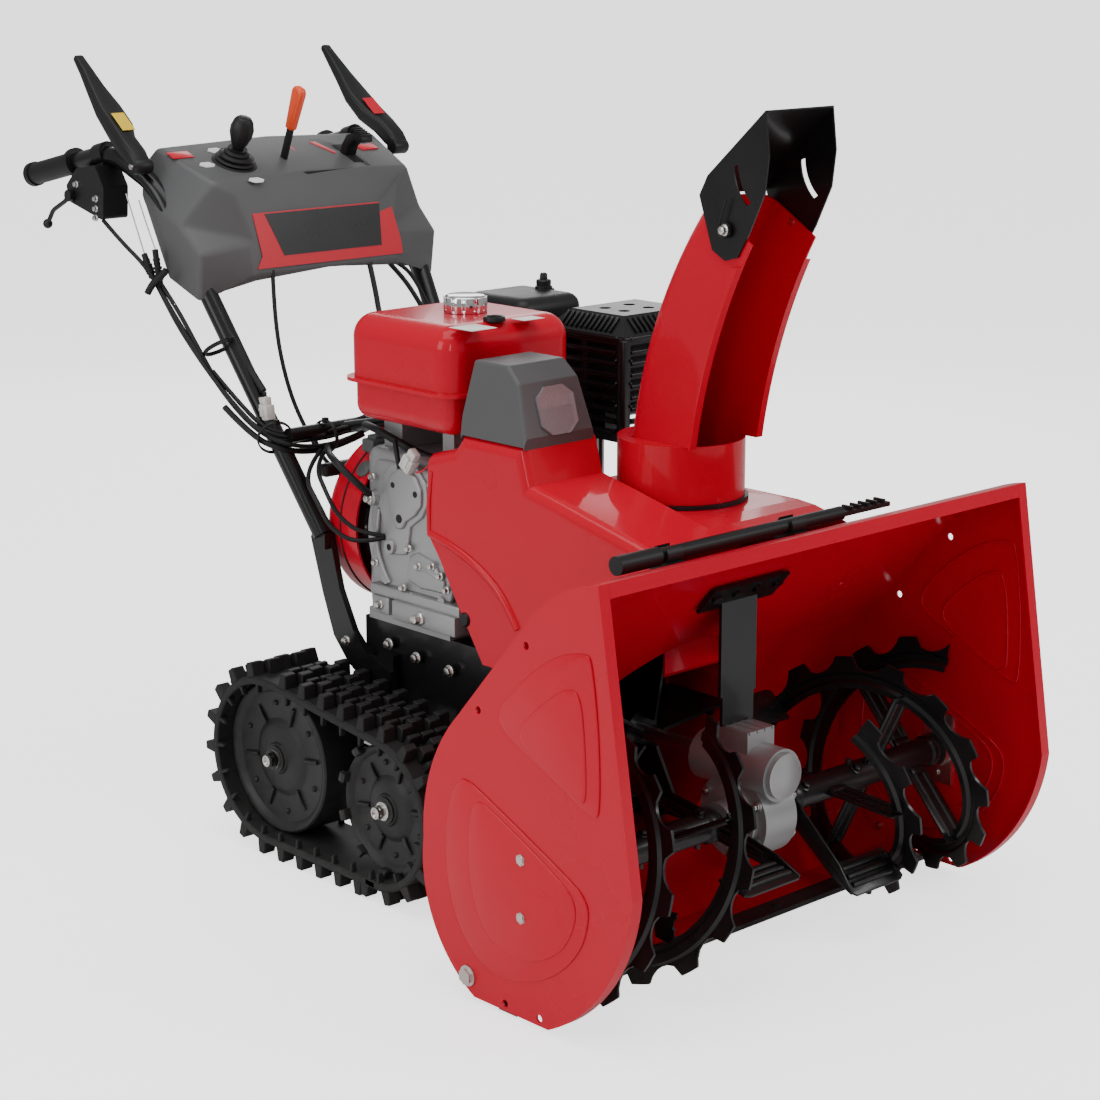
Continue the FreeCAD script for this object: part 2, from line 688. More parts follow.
def chute():
    half = CHUTE_HALF
    outer = prism("x", chute_profile(), CHUTE_X - half, CHUTE_X + half)
    rear = [edge for edge in outer.Edges if edge.CenterOfMass.y > 150 and edge.Length > 200]
    outer = outer.makeFillet(26, rear)
    inner = prism("x", chute_profile(CHUTE_T, 40), CHUTE_X - half + CHUTE_T, CHUTE_X + half - CHUTE_T)
    rear = [edge for edge in inner.Edges if edge.CenterOfMass.y > 150 and edge.Length > 200]
    inner = inner.makeFillet(23, rear)
    channel = outer.cut(inner)
    flange = prism("x", [(122, 600), ("arc", (88, 775), (19, 936)), (31, 940), ("arc", (100, 777), (134, 600))],
                   CHUTE_X - half - 9, CHUTE_X + half + 9)
    flange = flange.cut(prism("x", [(60, 590), (60, 960), (180, 960), (180, 590)], -200, 300).common(
        prism("x", [(126, 590), ("arc", (92, 775), (22, 945)), (200, 945), (200, 590)], -200, 300)))
    flange = flange.cut(box(CHUTE_X - half + 1, CHUTE_X + half - 1, -50, 200, 500, 1000))
    flange = flange.cut(box(CHUTE_X - 200, CHUTE_X + 200, -50, 200, FLANGE_TOP, 1000))
    skirt = pipe("z", (CHUTE_X, CHUTE_Y, SKIRT_BOTTOM), COLLAR_R + 4, COLLAR_R + 1, SKIRT_TOP - SKIRT_BOTTOM)
    core = cyl("z", (CHUTE_X, CHUTE_Y, SKIRT_BOTTOM - 1), COLLAR_R + 1, COLLAR_TOP + 2 - SKIRT_BOTTOM)
    lid = cyl("z", (CHUTE_X, CHUTE_Y, SKIRT_TOP - 3), COLLAR_R + 2, 3).cut(
        prism("x", [(60, 500), (60, 700), (240, 700), (240, 500)], CHUTE_X - half + 2, CHUTE_X + half - 2))
    outside = cyl("z", (CHUTE_X, CHUTE_Y, SKIRT_BOTTOM - 5), 300, SKIRT_TOP + 5 - SKIRT_BOTTOM)
    outside = outside.cut(cyl("z", (CHUTE_X, CHUTE_Y, SKIRT_BOTTOM - 6), COLLAR_R + 4, 200))
    channel = join(channel, flange).cut(core).cut(outside)
    body = join(channel, skirt, lid)
    body = body.cut(cyl("x", (CHUTE_X - 90, TILT_Y, TILT_Z), BOLT_R + 0.05, 180))
    return body


def chute_ring():
    """Plastic slide ring that the turning chute sits on."""
    return pipe("z", (CHUTE_X, CHUTE_Y, COVER_LOW_TOP + 0.5), COLLAR_R + 9, COLLAR_R, SKIRT_BOTTOM - COVER_LOW_TOP - 1)


def deflector_outline():
    return [(-3, 1107), (96, 1019), (110, 993), (86, 924), (64, 912), (41, 918), (21, 951), (-4, 1003), (-10, 1051)]


def deflector():
    gap = CHUTE_HALF + 0.6
    parts = []
    for sign in (-1, 1):
        inner = CHUTE_X + sign * gap
        outer = CHUTE_X + sign * (gap + EAR_T)
        ear = prism("x", deflector_outline(), min(inner, outer), max(inner, outer))
        slot = prism("x", [(26, 985), ("arc", (44, 1008), (50, 1034)), (42, 1037), ("arc", (36, 1012), (19, 990))],
                     -50, 200)
        parts.append(ear.cut(slot))
    back = prism("x", [(-3, 1107), (96, 1019), (110, 993), (107, 992), (93.5, 1017), (-4.6, 1105)],
                 CHUTE_X - gap, CHUTE_X + gap)
    whole = join(back, *parts)
    return whole.cut(cyl("x", (CHUTE_X - 90, TILT_Y, TILT_Z), BOLT_R + 0.05, 180))


def deflector_bolts():
    bolts = []
    for sign in (-1, 1):
        length = CHUTE_T + EAR_T + 3
        one = bolt("x", (CHUTE_HALF - CHUTE_T - 1.8, TILT_Y, TILT_Z), BOLT_R, 7, length)
        one = sided(one, sign)
        one.translate(Vector(CHUTE_X, 0, 0))
        bolts.append(one)
    return group(bolts)


# Engine ----------------------------------------------------------------------------------------

def engine_block():
    front = BLOCK_FRONT_Y
    rear = BLOCK_REAR_Y
    case = soft_box(ENGINE_X - 112, ENGINE_X + 125, front, rear, CASE_FLOOR_Z + 8, 604, 18)
    foot = box(ENGINE_X - 122, ENGINE_X + 130, front + 18, rear - 18, CASE_FLOOR_Z, CASE_FLOOR_Z + 16)
    arch = box(ENGINE_X - 60, ENGINE_X + 60, front - 5, rear + 5, CASE_FLOOR_Z - 1, CASE_FLOOR_Z + 7)
    nose = cyl("y", (ENGINE_X, front - 8, CRANK_Z), 62, 30)
    side = prism("x", [
        (front + 30, 400), (front + 120, 392), (front + 176, 420), ("arc", (front + 196, 490), (front + 160, 560)),
        (front + 70, 586), (front + 22, 540),
    ], ENGINE_X - 122, ENGINE_X - 100)
    barrel = box(ENGINE_X + 120, ENGINE_X + 196, front + 45, front + 165, 460, 590)
    fins = []
    for step in range(6):
        x = ENGINE_X + 132 + 11 * step
        fins.append(box(x, x + 4, front + 30, front + 180, 446, 604))
    bracket = box(ENGINE_X - 90, ENGINE_X + 110, rear - 60, rear - 20, 590, TANK_BOTTOM - 0.4)
    bracket2 = box(ENGINE_X - 90, ENGINE_X + 60, front + 42, front + 66, 590, TANK_BOTTOM - 0.4)
    studs = []
    for y, z in ((455, 408), (520, 402), (578, 418), (604, 470), (596, 534), (560, 566), (500, 572), (462, 545)):
        studs.append(cyl("x", (ENGINE_X - 128, y, z), 7, 20))
    block = join(case, foot, nose, side, barrel, bracket, bracket2, *fins, *studs).cut(arch)
    hollow = box(ENGINE_X - 70, ENGINE_X + 70, front + 40, rear - 40, 410, 560)
    bore = cyl("y", (ENGINE_X, front - 30, CRANK_Z), CRANK_R + RUNNING_GAP, rear - front + 60)
    return block.cut(hollow).cut(bore)


def crankshaft():
    start = PULLEY_Y - 4
    shaft = cyl("y", (ENGINE_X, start, CRANK_Z), CRANK_R, FAN_REAR_Y - 22 - start)
    flywheel = pipe("y", (ENGINE_X, BLOCK_REAR_Y + 12, CRANK_Z), 104, CRANK_R - 1, 34)
    vanes = []
    for step in range(12):
        vane = box(ENGINE_X - 2, ENGINE_X + 2, BLOCK_REAR_Y + 8, BLOCK_REAR_Y + 16, CRANK_Z + 60, CRANK_Z + 102)
        vanes.append(turned(vane, (ENGINE_X, 0, CRANK_Z), "y", 30 * step))
    web = cyl("y", (ENGINE_X, 500, CRANK_Z), 44, 30)
    wheel = pulley(ENGINE_X, PULLEY_Y, CRANK_Z, ENGINE_PULLEY_R, PULLEY_W, CRANK_R - 0.5)
    return join(shaft, flywheel, web, wheel, *vanes)


def fan_cover():
    front = BLOCK_REAR_Y + 0.3
    drum = cyl("y", (ENGINE_X, front, CRANK_Z), FAN_R, FAN_REAR_Y - front)
    drum = drum.makeFillet(20, [e for e in drum.Edges if e.CenterOfMass.y > FAN_REAR_Y - 1])
    starter = cyl("y", (ENGINE_X, FAN_REAR_Y - 1, CRANK_Z), 84, 15)
    starter = starter.makeFillet(7, [e for e in starter.Edges if e.CenterOfMass.y > FAN_REAR_Y + 10])
    top = box(ENGINE_X - 44, ENGINE_X + 84, front, FAN_REAR_Y - 24, CRANK_Z + 90, CRANK_Z + 140)
    skin = join(drum, starter, top)
    room = cyl("y", (ENGINE_X, front - 1, CRANK_Z), FAN_R - 3, FAN_REAR_Y - front - 2)
    room = room.makeFillet(18, [e for e in room.Edges if e.CenterOfMass.y > FAN_REAR_Y - 5])
    hollow = join(
        room,
        box(ENGINE_X - 41, ENGINE_X + 81, front - 1, FAN_REAR_Y - 27, CRANK_Z + 80, CRANK_Z + 137),
    )
    skin = skin.cut(hollow)
    slots = []
    for step in range(16):
        slot = box(ENGINE_X - 3.5, ENGINE_X + 3.5, FAN_REAR_Y - 20, FAN_REAR_Y + 30, CRANK_Z + 40, CRANK_Z + 72)
        slots.append(turned(slot, (ENGINE_X, 0, CRANK_Z), "y", 22.5 * step))
    return skin.cut(Part.makeCompound(slots))


HANDLE_PULL = (-86.0, 74.0)   # recoil handle from the crank axis, in x and z


def recoil_handle():
    x = ENGINE_X + HANDLE_PULL[0]
    z = CRANK_Z + HANDLE_PULL[1]
    bar_part = soft_box(x - 34, x + 34, FAN_REAR_Y + 5, FAN_REAR_Y + 25, z - 10, z + 10, 7)
    stem = cone("y", (x, FAN_REAR_Y - 8 + 9, z), 6, 9, 6)
    return bar_part.fuse(stem)


def fuel_tank():
    x0, x1, y0, y1 = TANK
    upper = box(x0, x1, y0, y1, TANK_SEAM - 4, TANK_TOP)
    upper = upper.makeFillet(34, [e for e in upper.Edges if e.CenterOfMass.z > TANK_SEAM])
    lower = box(x0 + 6, x1 - 6, y0 + 6, y1 - 6, TANK_BOTTOM, TANK_SEAM)
    lower = lower.makeFillet(22, [e for e in lower.Edges if e.CenterOfMass.z < TANK_SEAM - 1])
    seam = box(x0 - 8, x1 + 8, y0 - 8, y1 + 8, TANK_SEAM - 4, TANK_SEAM + 1)
    seam = seam.makeFillet(36, [e for e in seam.Edges if abs(e.Length - 5) < 0.1])
    neck_x, neck_y = cap_centre()
    neck = cyl("z", (neck_x, neck_y, TANK_TOP - 6), CAP_R - 8, 16)
    tank = join(upper, lower, seam, neck)
    hollow = box(x0 + 30, x1 - 30, y0 + 30, y1 - 30, TANK_BOTTOM + 16, TANK_TOP - 14)
    return tank.cut(hollow).cut(cyl("z", (neck_x, neck_y, TANK_TOP - 40), CAP_R - 12, 80))


def cap_centre():
    return (TANK[0] + TANK[1]) / 2 + 6, (TANK[2] + TANK[3]) / 2 - 6


def fuel_cap():
    x, y = cap_centre()
    cap = cyl("z", (x, y, TANK_TOP + 0.6), CAP_R, 25)
    cap = cap.makeFillet(4, [e for e in cap.Edges if e.CenterOfMass.z > TANK_TOP + 20])
    scallops = []
    for step in range(12):
        angle = math.radians(30 * step)
        at = (x + (CAP_R + 5) * math.cos(angle), y + (CAP_R + 5) * math.sin(angle), TANK_TOP + 5)
        scallops.append(cyl("z", at, 8, 40))
    cap = cap.cut(Part.makeCompound(scallops))
    return cap.cut(cyl("z", (x, y, TANK_TOP - 1), CAP_R - 8 + RUNNING_GAP, 16))


AIR_BOX = (98.0, 226.0, 552.0, 690.0, 694.0, 800.0)


def air_cleaner():
    x0, x1, y0, y1, z0, z1 = AIR_BOX
    lid = soft_box(x0, x1, y0, y1, z0 + 26, z1, 9)
    base = soft_box(x0 + 6, x1 - 6, y0 + 6, y1 - 6, z0, z0 + 36, 8)
    middle = ((x0 + x1) / 2, (y0 + y1) / 2)
    knob = cyl("z", (middle[0], middle[1], z1 - 2), 9, 20)
    nut = cyl("z", (middle[0], middle[1], z1 - 1), 15, 6)
    throat = box(x0 + 10, x0 + 60, y0 + 20, y0 + 80, 604.4, z0 + 4)
    whole = join(lid, base, knob, nut, throat)
    return whole.cut(box(x0 + 8, x1 - 8, y0 + 8, y1 - 8, z0 + 12, z1 - 6))


GUARD = (136.0, 318.0, 380.0, 540.0, 606.0, 786.0)


def muffler():
    x0, x1, y0, y1, z0, z1 = GUARD
    can = soft_box(x0 + 16, x1 - 16, y0 + 16, y1 - 14, z0 + 30, z1 - 20, 24)
    outlet = cyl("y", (x1 - 50, y0 - 6, z0 + 62), 14, 30)
    port = box(x0 + 22, x0 + 70, y0 + 60, y0 + 110, 604.4, z0 + 40)
    return join(can, outlet, port)


def muffler_guard():
    x0, x1, y0, y1, z0, z1 = GUARD
    shell = box(x0, x1, y0, y1, z0, z1)
    inner = box(x0 + 2, x1 - 2, y0 + 2, y1 - 2, z0 - 1, z1 - 2)
    shell = shell.makeChamfer(26, [e for e in shell.Edges if e.CenterOfMass.z > z1 - 1])
    inner = inner.makeChamfer(25, [e for e in inner.Edges if e.CenterOfMass.z > z1 - 3])
    shell = shell.cut(inner)
    cuts = []
    for row in range(8):
        z = z0 + 18 + 16.5 * row
        for low, high in ((y0 + 14, (y0 + y1) / 2 - 5), ((y0 + y1) / 2 + 5, y1 - 14)):
            cuts.append(box(x0 - 5, x0 + 5, low, high, z, z + 8))
        for low, high in ((x0 + 14, (x0 + x1) / 2 - 5), ((x0 + x1) / 2 + 5, x1 - 14)):
            cuts.append(box(low, high, y0 - 5, y0 + 5, z, z + 8))
    for x, y in ((60, 60), (110, 60), (60, 100), (110, 100)):
        cuts.append(cyl("z", (x0 + x, y0 + y, z1 - 10), 9, 20))
    cuts.append(cyl("y", (x1 - 50, y0 - 10, z0 + 62), 17, 30))
    return shell.cut(Part.makeCompound(cuts))


# Frame, transmission and tracks ----------------------------------------------------------------

def main_frame():
    half = FRAME_HALF
    t = FRAME_T
    top = CASE_FLOOR_Z
    parts = [
        box(-half, half, FRAME_FRONT_Y + 54, FRAME_REAR_Y, top - t, top),
        box(-half, half, FRAME_FRONT_Y + 54, FRAME_FRONT_Y + 54 + t, FRAME_BOTTOM, top),
        box(-half, half, FRAME_REAR_Y - t, FRAME_REAR_Y, FRAME_BOTTOM + 40, top),
        box(-half, half, FRAME_FRONT_Y + 54, FRAME_REAR_Y, FRAME_BOTTOM, FRAME_BOTTOM + t),
    ]
    for x in (-half, half - t):
        parts.append(box(x, x + t, DRUM_REAR_Y, FRAME_REAR_Y, FRAME_BOTTOM, top))
    frame = join(*parts)
    heads = []
    for name, sign in SIDES:
        for y, z in ((573, 322), (512, 314), (440, 310), (400, 250), (620, 250)):
            heads.append(sided(cyl("x", (half - 1, y, z), 8, 7), sign))
    frame = join(frame, *heads)
    window = box(-half + 30, half - 30, FRAME_REAR_Y - 20, FRAME_REAR_Y + 5, FRAME_BOTTOM + 60, top - 30)
    return frame.cut(window)


BOSS_R = 24.0


def transmission():
    case = soft_box(-112, 112, AXLE_Y - 62, AXLE_Y + 92, 74, FRAME_BOTTOM - 0.2, 16)
    bosses = cyl("x", (-163, AXLE_Y, AXLE_Z), BOSS_R, 326)
    ribs = [box(x, x + 5, AXLE_Y - 66, AXLE_Y + 96, 92, 190) for x in (-80, -30, 20, 70)]
    case = join(case, bosses, *ribs)
    case = case.cut(box(-90, 90, AXLE_Y + 24, AXLE_Y + 74, 96, 186))
    return case.cut(cyl("x", (-200, AXLE_Y, AXLE_Z), AXLE_R + RUNNING_GAP, 400))


def track_frame():
    """Crawler frame that tilts on the axle bosses and carries both idler pins."""
    parts = []
    for name, sign in SIDES:
        outline = [(AXLE_Y, AXLE_Z - 22), (IDLER_Y + 26, IDLER_Z - 22), (IDLER_Y + 26, IDLER_Z + 22), (AXLE_Y, AXLE_Z + 22)]
        beam = prism("x", outline, 148, 160)
        ring = cyl("x", (148, AXLE_Y, AXLE_Z), 40, 12)
        pin = cyl("x", (150, IDLER_Y, IDLER_Z), AXLE_R, 128)
        head = bolt("x", (262, IDLER_Y, IDLER_Z), AXLE_R, 11, 13)
        side = join(beam, ring, pin, head).cut(cyl("x", (140, AXLE_Y, AXLE_Z), BOSS_R + RUNNING_GAP, 30))
        parts.append(sided(side, sign))
    parts.append(cyl("x", (-150, 615, IDLER_Z - 5), 13, 300))
    return join(*parts)


def wheel(y, z, radius, bore, tabs):
    """Track wheel at +X: two dished discs on a hub, with a rim between them."""
    parts = [cyl("x", (164, y, z), 26, 106)]
    for x in (192, 258):
        parts.append(cyl("x", (x, y, z), radius, 5))
        parts.append(pipe("x", (x - 4, y, z), radius * 0.66, radius * 0.54, 13))
    parts.append(pipe("x", (192, y, z), radius, radius - 6, 70))
    for step in range(tabs):
        tab = box(250, 277, y - 10, y + 10, z + radius - 5, z + radius + TAB_H)
        parts.append(turned(tab, (0, y, z), "x", 360 / tabs * step))
    for step in range(5):
        angle = math.radians(72 * step)
        at = (256, y + 38 * math.cos(angle), z + 38 * math.sin(angle))
        parts.append(cyl("x", at, 5, 12))
    windows = []
    for step in range(6):
        window = box(180, 275, y - 9, y + 9, z + radius * 0.72, z + radius * 0.87)
        windows.append(turned(window, (0, y, z), "x", 60 * step + 18))
    whole = join(*parts).cut(Part.makeCompound(windows))
    return whole.cut(cyl("x", (100, y, z), bore, 300))


def sprocket(sign):
    radius = AXLE_Z - LUG_H - BELT_T - WHEEL_GAP - TAB_H
    drive = wheel(AXLE_Y, AXLE_Z, radius, AXLE_R - 0.5, 10)
    axle = cyl("x", (6, AXLE_Y, AXLE_Z), AXLE_R, 266)
    head = bolt("x", (262, AXLE_Y, AXLE_Z), AXLE_R, 11, 13)
    return sided(join(drive, axle, head), sign)


def idler(sign):
    radius = IDLER_Z - LUG_H - BELT_T - WHEEL_GAP
    return sided(wheel(IDLER_Y, IDLER_Z, radius, AXLE_R + RUNNING_GAP, 0), sign)


def belt_slope():
    """Angle of the track's upper run, which climbs to the larger idler."""
    return 2 * math.atan2(IDLER_Z - AXLE_Z, IDLER_Y - AXLE_Y)


def around(y, z, radius, angle):
    """Point at an angle from straight up, turning towards the front of the machine."""
    return (y - radius * math.sin(angle), z + radius * math.cos(angle))


def track_outline(depth):
    """Side view of the track at a depth below its lug tips, flat along the ground."""
    lean = belt_slope()
    front = AXLE_Z - depth
    rear = IDLER_Z - depth
    return [
        (AXLE_Y, depth), (IDLER_Y, depth),
        ("arc", (IDLER_Y + rear, IDLER_Z), around(IDLER_Y, IDLER_Z, rear, lean)),
        around(AXLE_Y, AXLE_Z, front, lean),
        ("arc", (AXLE_Y - front, AXLE_Z), (AXLE_Y, depth)),
    ]


def track_places(depth, pitch):
    """Places (y, z, turn) evenly spaced along the track, turn being 0 on top of a level run."""
    lean = belt_slope()
    front = AXLE_Z - depth
    rear = IDLER_Z - depth
    run = IDLER_Y - AXLE_Y
    top_run = math.hypot(run, IDLER_Z - AXLE_Z) * math.cos(lean / 2)
    rear_turn = math.pi - lean
    front_turn = math.pi + lean
    lengths = (run, rear * rear_turn, top_run, front * front_turn)
    count = round(sum(lengths) / pitch)
    places = []
    for step in range(count):
        along = sum(lengths) * step / count
        if along < lengths[0]:
            places.append((AXLE_Y + along, depth, math.pi))
            continue
        along -= lengths[0]
        if along < lengths[1]:
            angle = math.pi + along / rear
            places.append((*around(IDLER_Y, IDLER_Z, rear, angle), angle))
            continue
        along -= lengths[1]
        if along < lengths[2]:
            start = around(IDLER_Y, IDLER_Z, rear, lean)
            end = around(AXLE_Y, AXLE_Z, front, lean)
            share = along / lengths[2]
            places.append((start[0] + (end[0] - start[0]) * share, start[1] + (end[1] - start[1]) * share, lean))
            continue
        along -= lengths[2]
        angle = lean + along / front
        places.append((*around(AXLE_Y, AXLE_Z, front, angle), angle))
    return places


def track(sign):
    x0 = TRACK_INNER
    x1 = TRACK_INNER + TRACK_WIDTH
    belt = prism("x", track_outline(LUG_H), x0, x1)
    belt = belt.cut(prism("x", track_outline(LUG_H + BELT_T), x0 - 1, x1 + 1))
    lugs = []
    for y, z, angle in track_places(LUG_H, LUG_PITCH):
        lug = prism("x", [(-12, -2), (12, -2), (8.5, LUG_H), (-8.5, LUG_H)], x0, x1)
        lug.rotate(Vector(0, 0, 0), AXES["x"], math.degrees(angle))
        lug.translate(Vector(0, y, z))
        lugs.append(lug)
    whole = join(belt, *lugs)
    whole = whole.cut(box(x0 - 5, x1 + 5, 0, 1200, -5, 0))
    return sided(whole, sign)


def drive_belt():
    """Belt between the engine pulley and the impeller pulley, in their grooves."""
    small = ENGINE_PULLEY_R - 10.5
    large = IMPELLER_PULLEY_R - 10.5
    dx = -ENGINE_X
    dz = IMPELLER_Z - CRANK_Z
    gap = math.hypot(dx, dz)
    lean = math.asin((large - small) / gap)
    heading = math.atan2(dz, dx)
    outer = belt_outline(small + 8, large + 8, heading, lean)
    inner = belt_outline(small, large, heading, lean)
    y = PULLEY_Y + PULLEY_W / 2 - 4
    return prism("y", outer, y, y + 8).cut(prism("y", inner, y - 1, y + 9))


def belt_outline(small, large, heading, lean):
    """Outline round both pulleys in (x, z)."""
    side = math.pi / 2 + lean
    top = (ENGINE_X, CRANK_Z)
    low = (0, IMPELLER_Z)

    def on(centre, radius, angle):
        return (centre[0] + radius * math.cos(angle), centre[1] + radius * math.sin(angle))

    return [
        on(top, small, heading - side), on(low, large, heading - side),
        ("arc", on(low, large, heading), on(low, large, heading + side)),
        on(top, small, heading + side),
        ("arc", on(top, small, heading + math.pi), on(top, small, heading - side)),
    ]


# Handles and controls ----------------------------------------------------------------------------

def post_points():
    """Left handle tube, from the frame up to the end inside the grip."""
    return [(166, 698, 466), (223, 1005, 953), (238, 1098, 1000), (249, GRIP_END_Y - 8, 954)]


POST_RADII = (120.0, 110.0)


LEG = [
    (546, 250), (590, 244), (650, 282), (682, 316), (706, 376),
    (732, 456), (720, 482), (692, 482), (666, 388), (636, 332), (604, 302), (552, 286),
]
LEG_STANDOFF = 14.0
CROSSBAR = (757.0, 606.0)
STAY_X = 78.0


def handle_frame():
    parts = []
    for name, sign in SIDES:
        tube = rod(post_points(), POST_RADII, TUBE_R)
        leg = prism("x", LEG, FRAME_HALF + LEG_STANDOFF, FRAME_HALF + LEG_STANDOFF + 10)
        spacer = box(FRAME_HALF + 0.4, FRAME_HALF + LEG_STANDOFF + 1, 556, 588, 268, 308)
        block = box(FRAME_HALF + LEG_STANDOFF, 172, 686, 710, 446, 470)
        parts.append(sided(join(tube, leg, spacer, block), sign))
        parts.append(sided(bar((STAY_X, *CROSSBAR), (STAY_X, BLOCK_REAR_Y - 18, 636), 8), sign))
    parts.append(cyl("x", (-180, *CROSSBAR), 11, 360))
    return join(*parts)


def console_profile(wing):
    if wing:
        return [(905, 790), (894, 925), (918, 967), (1040, 1017), (1060, 990), (1016, 872)]
    return [(878, 832), (892, 925), (918, 967), (1040, 1017), (1060, 990), (1012, 884), (908, 822)]


def console():
    half = CONSOLE_HALF
    middle = prism("x", console_profile(False), -168, 168)
    outer = middle
    for name, sign in SIDES:
        outer = outer.fuse(sided(prism("x", console_profile(True), 167, half), sign))
    outer = outer.removeSplitter()
    face = Part.Face(wire("x", console_profile(False))).makeOffset2D(-CONSOLE_T)
    face.translate(Vector(-half + CONSOLE_T, 0, 0))
    hollow = face.extrude(Vector(2 * (half - CONSOLE_T), 0, 0))
    under = prism("x", [(922, 780), (1004, 848), (1004, 900), (930, 850)], -half + 8, half - 8)
    body = outer.cut(hollow).cut(under)
    for name, sign in SIDES:
        envelope = rod(post_points(), POST_RADII, TUBE_R + 0.5)
        body = body.cut(sided(envelope, sign))
    for x, width, length in ((-18, 12, 76), (107, 12, 60)):
        slot = box(-width, width, -length / 2, length / 2, -20, 20)
        body = body.cut(on_console(leaned(slot), x))
    return body.cut(on_console(leaned(cyl("z", (0, 0, -25), 19, 50)), -110))


def on_console(shape, x):
    copy = shape.copy()
    copy.translate(Vector(x, CONTROL_Y, CONTROL_Z))
    return copy


def joystick_gimbal():
    ring = pipe("z", (0, 0, -8), 17, 11, 8)
    pins = cyl("x", (-17.5, 0, -4), 3, 35).cut(cyl("x", (-11, 0, -4), 3, 22))
    return on_console(leaned(join(ring, pins)), -110)


def joystick():
    base = cone("z", (0, 0, 8), 21, 12, 14)
    stem = cyl("z", (0, 0, -10), 6, 50)
    head = cyl("z", (0, 0, 34), 13, 38)
    head = head.makeFillet(6, [e for e in head.Edges if e.CenterOfMass.z > 70])
    return on_console(leaned(join(base, stem, head)), -110)


def speed_lever():
    blade = box(-3, 3, -9, 9, -50, 66)
    pivot = cyl("x", (-8, 0, -44), 10, 16)
    knob = cyl("z", (0, 0, 62), 8.5, 66)
    knob = knob.makeFillet(7, [e for e in knob.Edges if e.CenterOfMass.z > 120])
    whole = join(blade, pivot, knob)
    return on_console(leaned(whole).cut(leaned(cyl("x", (-20, 0, -44), 4.05, 40))), -18)


def throttle_lever():
    blade = box(-4, 4, -8, 8, -40, 34)
    pivot = cyl("x", (-8, 0, -38), 10, 16)
    paddle = soft_box(-11, 11, -10, 10, 30, 62, 5)
    whole = join(blade, pivot, paddle)
    return on_console(leaned(whole).cut(leaned(cyl("x", (-20, 0, -38), 4.05, 40))), 107)


def lever_pins():
    pins = []
    for x, depth in ((-18, -44), (107, -38)):
        pin = cyl("x", (-24, 0, depth), 4, 48)
        hangers = [box(low, low + 4, -8, 8, depth - 7, -6) for low in (-24, 20)]
        pins.append(on_console(leaned(join(pin, *hangers)), x))
    return group(pins)


def grip_axis():
    start = Vector(*post_points()[2])
    end = Vector(*post_points()[3])
    return start, (end - start).normalize()


def grips():
    both = []
    start, along = grip_axis()
    end = Vector(*post_points()[3]) + along * 8
    for name, sign in SIDES:
        first = end - along * GRIP_LENGTH
        body = Part.makeCylinder(GRIP_R, GRIP_LENGTH, first, along)
        collar = Part.makeCylinder(GRIP_R + 5, 8, first, along)
        knob = Part.makeCylinder(GRIP_R + 2, 10, end - along * 10, along)
        bore = Part.makeCylinder(TUBE_R + 0.02, GRIP_LENGTH - 6.5, first - along * 1, along)
        both.append(sided(join(body, collar, knob).cut(bore), sign))
    return group(both)


def control_pods():
    """Housings clamped on the tubes in front of the grips."""
    both = []
    for name, sign in SIDES:
        block = prism("x", [(1082, 900), (1172, 922), (1180, 946), (1150, 974), (1100, 982), (1078, 950)], 226, 270)
        block = block.makeFillet(6, [e for e in block.Edges if abs(e.Length - 44) < 0.1])
        ring = bar((238.6, 1108, 999), (240.4, 1132, 993), TUBE_R + 3)
        neck = box(231, 249, 1108, 1128, 968, 992)
        envelope = rod(post_points(), POST_RADII, TUBE_R + 0.02)
        pivot = cyl("x", (248, 1164, 932), 5, 30)
        both.append(sided(join(block, neck, ring).cut(envelope).cut(pivot), sign))
    return group(both)


PADDLE_PIVOT = (1010.0, 985.0)
TRIGGER_PIVOT = (1164.0, 932.0)


def paddle_outline(drop=0.0):
    return [
        (998, 976), (1012, 972), (1062, 1004), (1138, 1062), (1190 + drop, 1128 - drop), (1181 + drop, 1142 - drop),
        (1160 + drop, 1126 - drop), (1104 + drop, 1068 - drop), (1030 + drop, 1024 - drop), (998, 1000 - drop),
    ]


def clutch_paddle(sign):
    """Long lever of inverted channel section that folds down over the grip."""
    x0 = 215.0
    x1 = 261.0
    blade = prism("x", paddle_outline(), x0, x1)
    hollow = prism("x", [(1020, 900), (1020, 1012), (1104, 1063), (1164, 1122), (1300, 1100), (1300, 900)],
                   x0 + 3, x1 - 3)
    blade = blade.cut(hollow)
    taper = [(x0 - 1, 990), (x0 - 1, 1105), (228, 1172), (230, 1200), (244, 1200), (246, 1172), (x1 + 1, 1105),
             (x1 + 1, 990)]
    blade = blade.common(prism("z", taper, 900, 1200))
    blade = blade.cut(box(x0 - 5, CONSOLE_HALF + 1, 900, 1068, 900, 1200))
    blade = blade.cut(box(x0 - 5, x1 - 3, 900, 1012, 900, 1200))
    bore = cyl("x", (CONSOLE_HALF, PADDLE_PIVOT[0], PADDLE_PIVOT[1]), 4.05, 40)
    return sided(blade.cut(bore), sign)


def paddle_pins():
    pins = []
    for name, sign in SIDES:
        pin = cyl("x", (CONSOLE_HALF + 0.4, PADDLE_PIVOT[0], PADDLE_PIVOT[1]), 4, 34)
        pins.append(sided(pin, sign))
    return pins


def steering_trigger(sign):
    """Wire lever below the grip with a ball on its end."""
    y, z = TRIGGER_PIVOT
    hub = cyl("x", (271, y, z), 9, 8)
    wire_part = rod([(275, y, z), (275, 1178, 922), (275, 1212, 906), (275, 1229, 884)], (30.0, 25.0), 3.5)
    ball = Part.makeSphere(7.5, Vector(275, 1229, 884))
    pin = cyl("x", (250, y, z), 4.95, 24)
    return sided(join(hub, wire_part, ball, pin), sign)


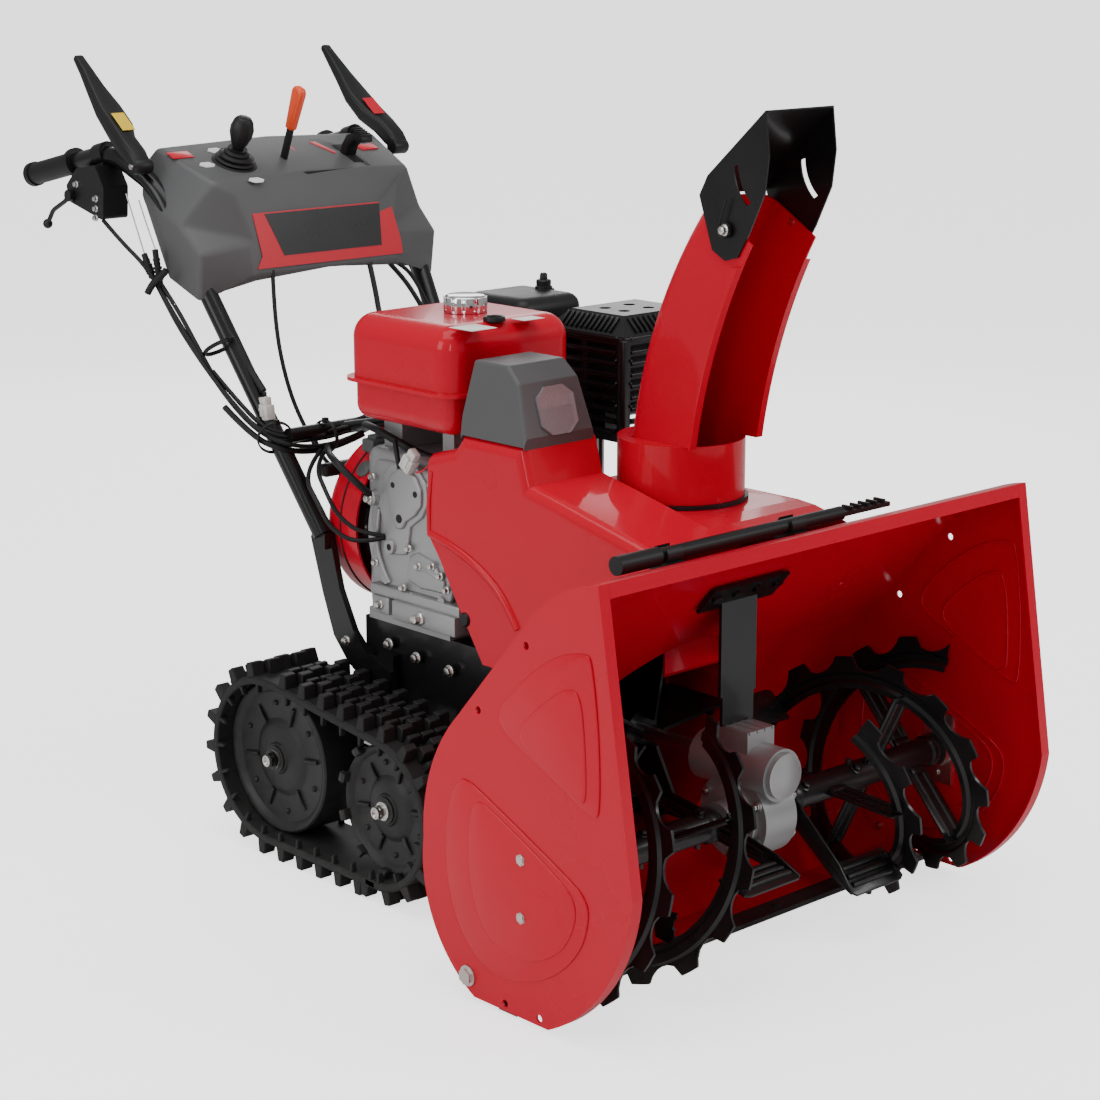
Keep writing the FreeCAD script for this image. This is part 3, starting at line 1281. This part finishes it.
def cable_route(shift):
    """One control cable along the near tube, with a slack bow below the console."""
    return [
        (-266 - shift, 1073, 920), (-262 - shift, 1042, 898), (-252 - shift, 990, 836), (-238 - shift, 930, 742),
        (-225 - shift, 880, 672), (-213 - shift, 820, 612), (-203 - shift, 766, 548 - shift),
        (-196 - shift, 712, 476), (-187, 660, 400 - shift), (-176, 600, 352 - shift),
    ]


def control_cables():
    cables = []
    for shift in (0, 9):
        points = cable_route(shift)
        cables.append(rod(points, [60.0] * (len(points) - 2), 3.2))
    return group(cables)


def build():
    keep("side_plate_left", side_plate())
    keep("side_plate_right", mirrored(side_plate()))
    keep("housing_sheet", housing_sheet())
    keep("impeller_drum", join(impeller_drum(), duct_floor()))
    keep("scraper_blade", scraper_blade())
    keep("gearcase_bracket", gearcase_bracket())
    keep("auger_gearcase", auger_gearcase())
    keep("shaft_bearings", shaft_bearings())
    keep("housing_bolts", housing_bolts())
    for name, sign in SIDES:
        keep("skid_shoe_" + name, skid_shoe(sign))
        keep("auger_" + name, auger(sign, 40 if sign > 0 else 10))
        keep("sprocket_" + name, sprocket(sign))
        keep("idler_" + name, idler(sign))
        keep("track_" + name, track(sign))
        keep("clutch_paddle_" + name, clutch_paddle(sign))
        keep("steering_trigger_" + name, steering_trigger(sign))
    keep("auger_shaft", auger_shaft())
    keep("worm_wheel", worm_wheel())
    keep("impeller_shaft", impeller_shaft())
    keep("impeller", impeller())
    keep("impeller_pulley", pulley(0, PULLEY_Y, IMPELLER_Z, IMPELLER_PULLEY_R, PULLEY_W, IMPELLER_SHAFT_R))
    keep("belt_cover", belt_cover())
    keep("headlight_pod", headlight_pod())
    keep("headlight_lens", lens_form())
    keep("tool_clips", tool_clips())
    keep("cleanout_tool", cleanout_tool())
    keep("chute", chute())
    keep("chute_ring", chute_ring())
    keep("deflector", deflector())
    keep("deflector_bolts", deflector_bolts())
    keep("engine_block", engine_block())
    keep("crankshaft", crankshaft())
    keep("fan_cover", fan_cover())
    keep("recoil_handle", recoil_handle())
    keep("fuel_tank", fuel_tank())
    keep("fuel_cap", fuel_cap())
    keep("air_cleaner", air_cleaner())
    keep("muffler", muffler())
    keep("muffler_guard", muffler_guard())
    keep("main_frame", main_frame())
    keep("transmission", transmission())
    keep("track_frame", track_frame())
    keep("drive_belt", drive_belt())
    keep("handle_frame", handle_frame())
    keep("console", console())
    keep("joystick_gimbal", joystick_gimbal())
    keep("joystick", joystick())
    keep("speed_lever", speed_lever())
    keep("throttle_lever", throttle_lever())
    keep("lever_pins", group([lever_pins(), *paddle_pins()]))
    keep("grips", grips())
    keep("control_pods", control_pods())
    keep("control_cables", control_cables())


def report(name, shape):
    solids = len(shape.Solids)
    state = "ok" if shape.isValid() else "NOT VALID"
    print(f"{name:24s} solids {solids:2d} volume {shape.Volume / 1000:9.1f} cm3 {state}")


build()
ORIGIN_Y = middle_y()
os.makedirs("parts", exist_ok=True)
for node, solid in NODES.items():
    solid.translate(Vector(0, -ORIGIN_Y, 0))
    report(node, solid)
    solid.exportStep("parts/" + node + ".step")
